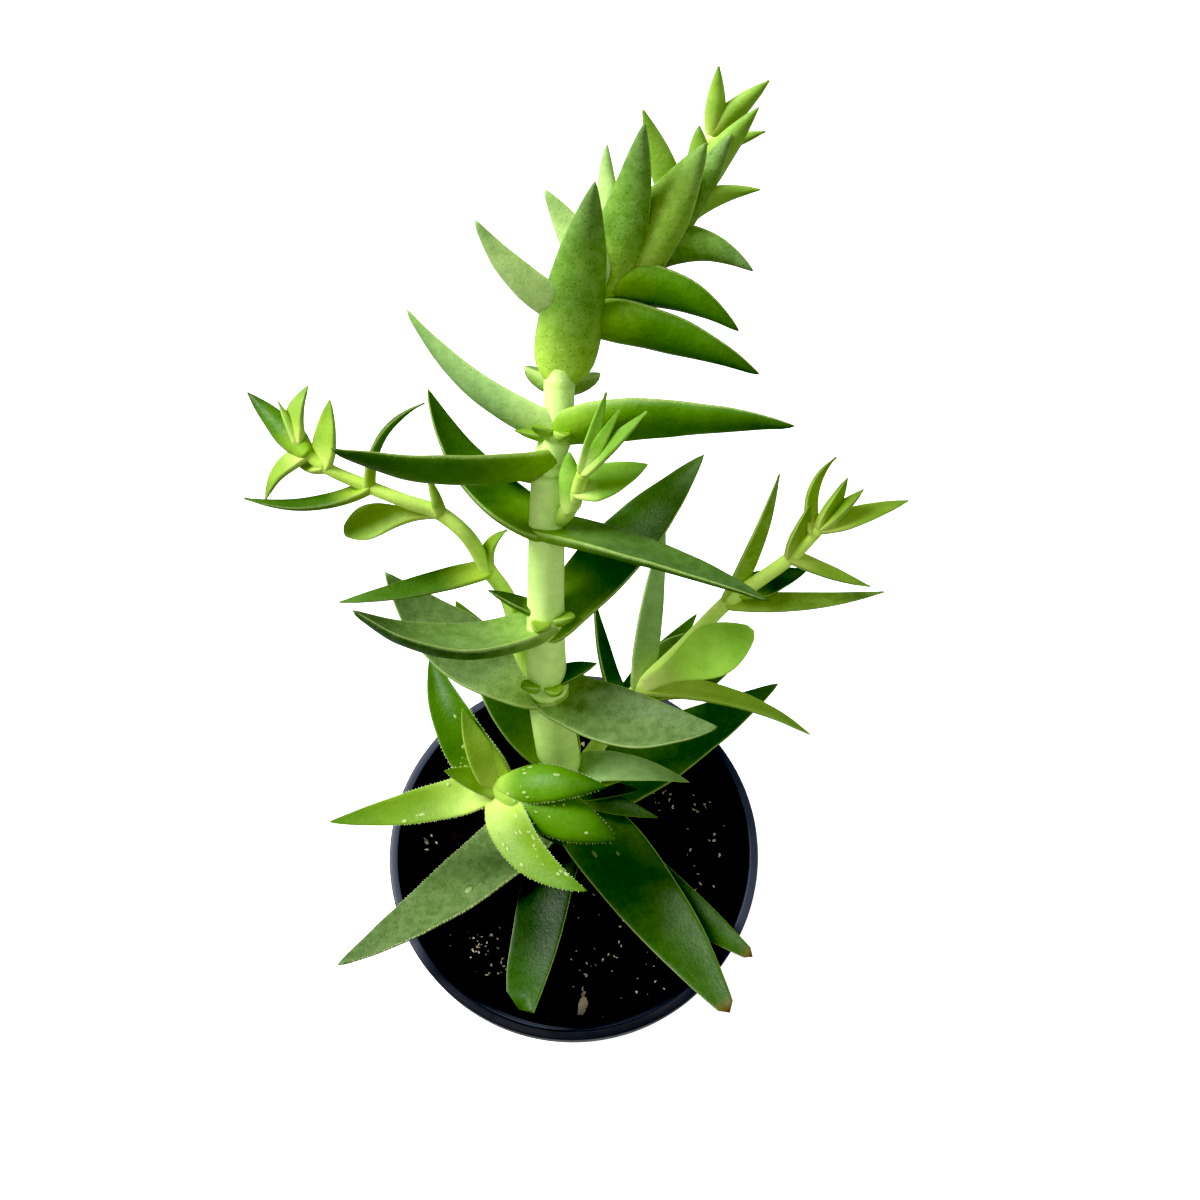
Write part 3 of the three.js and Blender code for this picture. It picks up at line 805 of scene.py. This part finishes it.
def grow_teeth(bm, layers, leaf):
    """Adds a row of tiny cones along both margins of a leaf."""
    skin, blade, finish = layers
    count = int(TOOTHED_PART * leaf.length / TOOTH_EVERY)
    for side in (0, math.pi):
        for i in range(count):
            step = i + random.uniform(0.2, 0.8)
            share = FIRST_TOOTH + TOOTHED_PART * step / count
            foot = leaf.spot(side, share)
            out = (foot - leaf.spot(math.pi - side, share)).normalized()
            ahead = (leaf.spot(side, share + 0.01) - foot).normalized()
            aim = (out + 0.5 * ahead).normalized()
            long = TOOTH_LONG * random.uniform(0.7, 1.2)
            turn = Vector((0, 0, 1)).rotation_difference(aim).to_matrix().to_4x4()
            matrix = Matrix.Translation(foot + aim * (long / 2 - TOOTH_SUNK)) @ turn
            cone = bmesh.ops.create_cone(
                bm, cap_ends=True, segments=4, radius1=TOOTH_R, radius2=TOOTH_TIP_R, depth=long, matrix=matrix
            )
            for vertex in cone["verts"]:
                vertex[skin] = (*TOOTH, 1)
                vertex[blade] = (0, share, 0)
                vertex[finish] = (0, 0, 0)


print("teeth on a leaf of 40 mm:", 2 * int(TOOTHED_PART * 40 / TOOTH_EVERY))

# %% [markdown]
# ## Scars and blisters
# Some leaves carry small raised marks: corky scars on the old ones, and clear blisters on the soft young
# rosette, tinted pale as a painted highlight where they catch the light. Each is a ball pressed flat and half
# sunk into the face that shows.

# %% Scars and blisters
SCAR = Vector(linear(178, 198, 130))
# The blisters' pale tint is a painted highlight on the raised bumps.
BLISTER_HIGHLIGHT = Vector(linear(206, 232, 150))
MARK_TINT = 0.4
MARK_HEIGHT = 0.16
MARK_FINISH = (0.1, 0, 0)


def grow_mark(bm, layers, leaf, angle, share, size, colour):
    """Adds one flat raised mark on a leaf, above or, at a negative angle, below."""
    skin, blade, finish = layers
    spot = leaf.spot(angle, share)
    ahead = leaf.spot(angle, share + 0.01) - spot
    around = leaf.spot(angle + 0.05, share) - spot
    normal = ahead.cross(around).normalized()
    if normal.dot(leaf.face) * math.sin(angle) < 0:
        normal.negate()
    ahead.normalize()
    turn = Matrix((ahead, normal.cross(ahead), normal)).transposed().to_4x4()
    long, wide = size * random.uniform(0.4, 0.75), size * random.uniform(0.25, 0.45)
    shape = Matrix.Diagonal((long, wide, size * MARK_HEIGHT, 1))
    matrix = Matrix.Translation(spot) @ turn @ shape
    colour = leaf.colour(angle, share).lerp(colour, MARK_TINT)
    made = bmesh.ops.create_icosphere(bm, subdivisions=2, radius=1, matrix=matrix)["verts"]
    for vertex in made:
        vertex.co += noise.noise_vector(vertex.co * 1.5) * size * 0.08
        vertex[skin] = (*colour, 1)
        vertex[blade] = (0, share, 0)
        vertex[finish] = MARK_FINISH


print("tint of the marks:", MARK_TINT)

# %% [markdown]
# ## Growing the shoots
# Each shoot becomes two pieces, its stem and its leaves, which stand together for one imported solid. A bud
# in a leaf axil is a pair of tiny scales that part at their tips. The lists name the leaves that carry
# scars or blisters, because those are in plain sight.

# %% Grow the shoots
TOOTHED = 0.8  # teeth are modelled on leaves whose paint has at least this much of them
BUD_OPENING = 42
BUD_TILT = 25


def opened(row):
    """The two scales of a bud, which part at their tips; any other row is one leaf."""
    if row[7] != "bud":
        return [row]
    place, heading, rise, *rest = row
    return [(place, heading + turn, rise - BUD_TILT, *rest) for turn in (-BUD_OPENING, BUD_OPENING)]


SCARS = {
    # leaf of the main shoot, counted from 0: (angle, share, size)
    0: [(1.25, 0.52, 2.2), (1.15, 0.48, 1.2)],
    2: [(1.9, 0.3, 2.0), (1.5, 0.35, 1.2), (1.7, 0.27, 1.0)],
}
BLISTERS = {
    # leaf of the front shoot: (marks, 1 for the upper face or -1 for the lower)
    0: (4, 1),
    2: (4, 1),
    6: (20, 1),
    7: (8, -1),
    8: (8, -1),
}
for shoot, (stem, rows) in SHOOTS.items():
    path = StemPath(stem)
    leaves = [Leaf(path, part, seed + 1) for seed, row in enumerate(rows) for part in opened(row)]
    bm = bmesh.new()
    layers = layers_of(bm)
    grow_stem(bm, layers, path, sorted({row[0] for row in rows}), shoot)
    finish_piece(f"{shoot}_stem", bm, stem_skin, "plant", shoot)
    bm = bmesh.new()
    layers = layers_of(bm)
    for leaf in leaves:
        grow_leaf(bm, layers, leaf)
        if leaf.finish.z >= TOOTHED:
            grow_teeth(bm, layers, leaf)
    if shoot == "main_shoot":
        for number, marks in SCARS.items():
            for angle, share, size in marks:
                grow_mark(bm, layers, leaves[number], angle, share, size, SCAR)
    if shoot == "front_shoot":
        for number, (count, side) in BLISTERS.items():
            for _ in range(count):
                angle, share = side * random.uniform(0.7, 2.4), random.uniform(0.2, 0.85)
                grow_mark(bm, layers, leaves[number], angle, share, random.uniform(0.6, 1.6), BLISTER_HIGHLIGHT)
    finish_piece(f"{shoot}_leaves", bm, leaf_skin, "plant", shoot)

# %% [markdown]
# ## Pot
# A nursery pot is thin moulded plastic: a rounded rim band, a short upright collar that makes stacked
# pots hang apart, and a tapering body. It is round, so a half profile spun about the axis gives the whole
# wall.

# %% Pot
RIM_R = 53.7
POT_H = 88
BOTTOM_R = 38.5
WALL = 1.3
COLLAR_H = 12
COLLAR_STEP = 3.4
RIM_BAND = 2.6
RIM_EDGE = 0.6
POT_FLOOR = 1.6
POT_STEPS = 160

def spun(bm, profile, steps):
    """Spins an open profile of radius and height about the Z axis into a closed skin."""
    verts = [bm.verts.new((r, 0, z)) for r, z in profile]
    edges = [bm.edges.new(pair) for pair in zip(verts, verts[1:])]
    bmesh.ops.spin(
        bm,
        geom=verts + edges,
        cent=(0, 0, 0),
        axis=(0, 0, 1),
        dvec=(0, 0, 0),
        angle=2 * math.pi,
        steps=steps,
        use_merge=True,
        use_duplicate=False,
    )
    bmesh.ops.remove_doubles(bm, verts=bm.verts, dist=1e-4)


def arc(middle_r, middle_z, radius, first, last, steps=6):
    """Points of a rounded edge, angles in degrees from straight out."""
    turns = [math.radians(first + (last - first) * i / steps) for i in range(steps + 1)]
    return [(middle_r + radius * math.cos(t), middle_z + radius * math.sin(t)) for t in turns]


collar_bottom = POT_H - COLLAR_H
body_top_r = RIM_R - COLLAR_STEP
pot_profile = [
    (0, 0),
    (BOTTOM_R - 6, 0),
    *arc(BOTTOM_R - 2, 2, 2, -90, 8),
    (BOTTOM_R + 1.1, 8),
    (BOTTOM_R + 1.5, 8.4),
    (body_top_r - 0.2, collar_bottom - 0.4),
    (body_top_r + 0.2, collar_bottom),
    *arc(RIM_R - 1.4, collar_bottom + 1.4, 0.9, -90, 0),
    (RIM_R - 0.45, collar_bottom + 4.5),
    (RIM_R - 0.1, collar_bottom + 5.2),
    *arc(RIM_R - RIM_EDGE, POT_H - RIM_EDGE, RIM_EDGE, 0, 84),
    *arc(RIM_R - RIM_BAND + RIM_EDGE, POT_H - RIM_EDGE, RIM_EDGE, 96, 180),
    (RIM_R - RIM_BAND - 0.1, POT_H - 4),
    (body_top_r - WALL + 0.6, collar_bottom + 2),
    (body_top_r - WALL, collar_bottom),
    (BOTTOM_R - WALL, POT_FLOOR + 1.5),
    (BOTTOM_R - WALL - 1.5, POT_FLOOR),
    (0, POT_FLOOR),
]
print("points in the pot's profile:", len(pot_profile))

# %% [markdown]
# The drain holes are cut by a Boolean, because they are round holes through a flat floor. The drills are
# removed once the cut is in the mesh.

# %% Spin the wall and cut the drain holes
DRAINS = 6
DRAIN_R = 4
DRAIN_RING_R = 28
DRILL_LONG = 8
bm = bmesh.new()
spun(bm, pot_profile, POT_STEPS)
bmesh.ops.scale(bm, vec=(MM, MM, MM), verts=bm.verts)
bmesh.ops.recalc_face_normals(bm, faces=bm.faces)
uncut = object_from("pot_wall", bm)

bm = bmesh.new()
drill_r, drill_long = DRAIN_R * MM, DRILL_LONG * MM
for i in range(DRAINS):
    turn = 2 * math.pi * i / DRAINS
    spot = Vector((DRAIN_RING_R * math.cos(turn), DRAIN_RING_R * math.sin(turn), 0)) * MM
    drill = Matrix.Translation(spot)
    bmesh.ops.create_cone(
        bm, cap_ends=True, segments=40, radius1=drill_r, radius2=drill_r, depth=drill_long, matrix=drill
    )
drills = object_from("drills", bm)
cut = uncut.modifiers.new("drain_holes", "BOOLEAN")
cut.operation, cut.solver, cut.object = "DIFFERENCE", "EXACT", drills
cut_mesh = bpy.data.meshes.new_from_object(uncut.evaluated_get(bpy.context.evaluated_depsgraph_get()))
bpy.data.objects.remove(uncut)
bpy.data.objects.remove(drills)
print("faces round the drain holes too:", len(cut_mesh.polygons))

# %% [markdown]
# ## Pot plastic
# The plastic is black, but what the eye sees is its shine: the rim mirrors the white room and looks blue
# grey. So the base colour is nearly black, with a blue-grey painted reflection on top of the rim and painted
# shade that makes it blacker towards the front, and the roughness is fairly low, with a trace of dust and
# fine unevenness. Flat faces such as the foot must stay flat, so edges sharper than 35 degrees stay crisp.

# %% Pot plastic
CRISP_EDGE = 35
pot_plastic, tree, shader, place = new_material("pot_plastic")
patch, fine = cloud(tree, place, 14 * MM, 0.5 * MM)
dust = specks(tree, place, 1.6 * MM, 0.16, 0.35)
colour = blend(tree, patch, (*linear(11, 12, 15), 1), (*linear(18, 19, 24), 1))
colour = blend(tree, times(tree, dust, 0.35), colour, (*linear(120, 118, 112), 1))
split = add(tree, "ShaderNodeSeparateXYZ", {0: place})
# Painted reflection: the top of the rim is painted blue grey, standing in for the white room mirrored there.
painted_rim_reflection = ramp(tree, split.outputs["Z"], (POT_H - 1.2) * MM, (POT_H - 0.2) * MM)
colour = blend(tree, painted_rim_reflection, colour, (*linear(56, 61, 74), 1))
# Painted shade: the front of the pot, turned away from the light, is painted near black.
painted_front_shade = ramp(tree, split.outputs["Y"], -20 * MM, -50 * MM, 0, 0.9)
colour = blend(tree, painted_front_shade, colour, (*linear(4, 4, 5), 1))
tree.links.new(colour, shader.inputs["Base Color"])
tree.links.new(ramp(tree, patch, 0, 1, 0.3, 0.42), shader.inputs["Roughness"])
bump = add(tree, "ShaderNodeBump", {"Strength": 0.15, "Distance": 0.05 * MM, "Height": fine})
tree.links.new(bump.outputs["Normal"], shader.inputs["Normal"])
shader.inputs["IOR"].default_value = 1.5
shader.inputs["Specular IOR Level"].default_value = 0.22
shader.inputs["Sheen Weight"].default_value = 0.07
shader.inputs["Sheen Tint"].default_value = (0.7, 0.8, 1, 1)

cut_mesh.materials.clear()
cut_mesh.materials.append(pot_plastic)
pot_wall = bpy.data.objects.new("pot_wall", cut_mesh)
scene.collection.objects.link(pot_wall)
cut_mesh.shade_smooth()
cut_mesh.set_sharp_from_angle(angle=math.radians(CRISP_EDGE))
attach(pot_wall, "root")
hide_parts("pot")
print("pot faces:", len(cut_mesh.polygons))

# %% [markdown]
# ## Potting mix
# Peat-black mix fills the pot to a finger below the rim. From above it is almost black, with a lumpy
# surface. A spun disc whose top is pushed up and down by noise gives the lumps.

# %% Potting mix
MIX_TOP = 76.5
MIX_STEPS = 140
MIX_RING = 0.9
mix_r = body_top_r - WALL - 0.3
mix_foot_r = BOTTOM_R - WALL - 1.8
top_rings = [mix_r - MIX_RING * i for i in range(int(mix_r / MIX_RING) + 1)]


def lump(x, y):
    """Height of the mix above its mean level."""
    spot = Vector((x, y, 0))
    return 0.8 * noise.noise(spot * 0.09) + 0.7 * noise.noise(spot * 0.35) + 0.35 * noise.noise(spot * 0.9)


bm = bmesh.new()
spun(
    bm,
    [(0, POT_FLOOR + 0.3), (mix_foot_r, POT_FLOOR + 0.3), (mix_foot_r + 1.2, POT_FLOOR + 2.1)]
    + [(mix_r, collar_bottom - 1)]
    + [(r, MIX_TOP) for r in top_rings]
    + [(0, MIX_TOP)],
    MIX_STEPS,
)
for vertex in bm.verts:
    if vertex.co.z > MIX_TOP - 0.1 and vertex.co.xy.length < mix_r - 0.2:
        vertex.co.z += lump(vertex.co.x, vertex.co.y)
print("faces of the mix:", len(bm.faces))

# %% [markdown]
# A few hundred crumbs, small balls pressed out of round by noise, break up the surface of the mix. The
# whole is rough and nearly black, with darker and browner patches and a little tan grit.

# %% Crumbs
CRUMBS = 620
CRUMB_SIZES = (0.8, 1.1, 1.5, 2.2)
CRUMBS_REACH = 46


def crumb(bm, x, y, size, subdivisions=1, sink=0.25, stretch=(1, 1, 0.8), rough=0.16, turns=6.28):
    """A small lump pressed out of round, lying on the mix."""
    tilt = Matrix.Rotation(random.uniform(-0.5, 0.5), 4, "X")
    turn = Matrix.Rotation(random.uniform(0, turns), 4, "Z") @ tilt
    shape = Matrix.Diagonal((*stretch, 1))
    spot = Matrix.Translation((x, y, MIX_TOP + lump(x, y) + size * (0.5 - sink) * stretch[2]))
    made = bmesh.ops.create_icosphere(
        bm, subdivisions=subdivisions, radius=size / 2, matrix=spot @ turn @ shape
    )["verts"]
    for vertex in made:
        vertex.co += noise.noise_vector(vertex.co * 1.7 / max(size, 0.6)) * size * rough
    return made


random.seed(5)
for _ in range(CRUMBS):
    reach, turn = CRUMBS_REACH * math.sqrt(random.random()), random.uniform(0, 2 * math.pi)
    size = random.choice(CRUMB_SIZES)
    crumb(bm, reach * math.cos(turn), reach * math.sin(turn), size)
print("faces of mix and crumbs:", len(bm.faces))

# %% Finish of the mix
mix_soil, tree, shader, place = new_material("mix_soil")
patch, fine = cloud(tree, place, 5 * MM, 0.4 * MM)
colour = blend(tree, patch, (*linear(7, 6, 5), 1), (*linear(24, 20, 16), 1))
grit = specks(tree, place, 2.6 * MM, 0.1, 0.3)
colour = blend(tree, times(tree, grit, 0.7), colour, (*linear(150, 128, 96), 1))
tree.links.new(colour, shader.inputs["Base Color"])
tree.links.new(ramp(tree, fine, 0, 1, 0.75, 1.0), shader.inputs["Roughness"])
bump = add(tree, "ShaderNodeBump", {"Strength": 0.8, "Distance": 0.3 * MM, "Height": fine})
tree.links.new(bump.outputs["Normal"], shader.inputs["Normal"])
shader.inputs["Specular IOR Level"].default_value = 0.2
finish_piece("mix_surface", bm, mix_soil, "mix", "potting_mix")

# %% [markdown]
# ## Grains of perlite
# Pale volcanic grains are mixed in to keep the soil open. They show in loose groups where the mix was
# last disturbed, up to about 5 mm long and cream to tan. Small balls of more faces are pressed out of
# round the same way, drawn in groups with a fixed seed. A group of one is the long grain at the front.

# %% Perlite
GRAIN_GROUPS = [
    # middle x, y, spread, grains, largest
    (2, -43, 1, 1, 6.6),
    (38, 15, 4, 9, 1.6),
    (42, 3, 5, 8, 1.5),
    (27, 17, 4, 16, 1.2),
    (37, -11, 5, 4, 1.6),
    (-45, 4, 3, 5, 2.0),
    (-42, 20, 4, 5, 1.2),
    (-26, -27, 5, 26, 1.1),
    (-22, -33, 3, 12, 1.2),
    (12, -27, 4, 6, 1.4),
    (4, -33, 5, 8, 1.2),
    (3, -39, 2, 2, 1.8),
    (24, -36, 6, 5, 1.0),
    (0, 30, 16, 30, 1.8),
    (0, 0, 42, 60, 1.0),
]
GRAINS_REACH = 46.5
SLIM, LONG, LOW = 0.6, 1.15, 0.7
LONE_SLIM = 0.42
GRAIN_ROUGH = 0.34
bm = bmesh.new()
random.seed(23)
for middle_x, middle_y, spread, grains, largest in GRAIN_GROUPS:
    for _ in range(grains):
        x, y = random.gauss(middle_x, spread / 2), random.gauss(middle_y, spread / 2)
        size = largest * random.uniform(0.45, 1) if grains > 1 else largest
        if math.hypot(x, y) < GRAINS_REACH:
            slim, turns = (SLIM, 6.28) if grains > 1 else (LONE_SLIM, 0.2)
            crumb(bm, x, y, 0.85 * size, 2, 0.15, (slim, LONG, LOW), GRAIN_ROUGH, turns)
print("faces of the grains:", len(bm.faces))

# %% Finish of the perlite
perlite, tree, shader, place = new_material("perlite")
patch, fine = cloud(tree, place, 7 * MM, 0.35 * MM)
colour = blend(tree, patch, (*linear(186, 176, 140), 1), (*linear(234, 228, 202), 1))
tree.links.new(colour, shader.inputs["Base Color"])
bump = add(tree, "ShaderNodeBump", {"Strength": 0.6, "Distance": 0.15 * MM, "Height": fine})
tree.links.new(bump.outputs["Normal"], shader.inputs["Normal"])
shader.inputs["Roughness"].default_value = 0.85
finish_piece("perlite_grains", bm, perlite, "mix", "potting_mix")

# %% [markdown]
# ## Floor finish
# The table under the pot is plain matte white, with the faintest cloudiness so that it isn't dead flat.
# In the photograph it is burnt out to white, yet it hardly brightens the plant from below. So the camera
# sees a table that glows a little, and the plant sees a greyer one.

# %% Floor finish
FLOOR_GLOW = 0.8
table_white, tree, shader, place = new_material("table_white")
patch, _ = cloud(tree, place, 0.3, 0.05)
seen = add(tree, "ShaderNodeLightPath").outputs["Is Camera Ray"]
white = blend(tree, patch, (*linear(246, 246, 246), 1), (*linear(250, 250, 249), 1))
tree.links.new(blend(tree, seen, (0.3, 0.3, 0.3, 1), white), shader.inputs["Base Color"])
shader.inputs["Emission Color"].default_value = (1, 1, 1, 1)
tree.links.new(times(tree, seen, FLOOR_GLOW), shader.inputs["Emission Strength"])
shader.inputs["Roughness"].default_value = 0.9
floor.data.materials.append(table_white)
print("materials:", [m.name for m in bpy.data.materials])
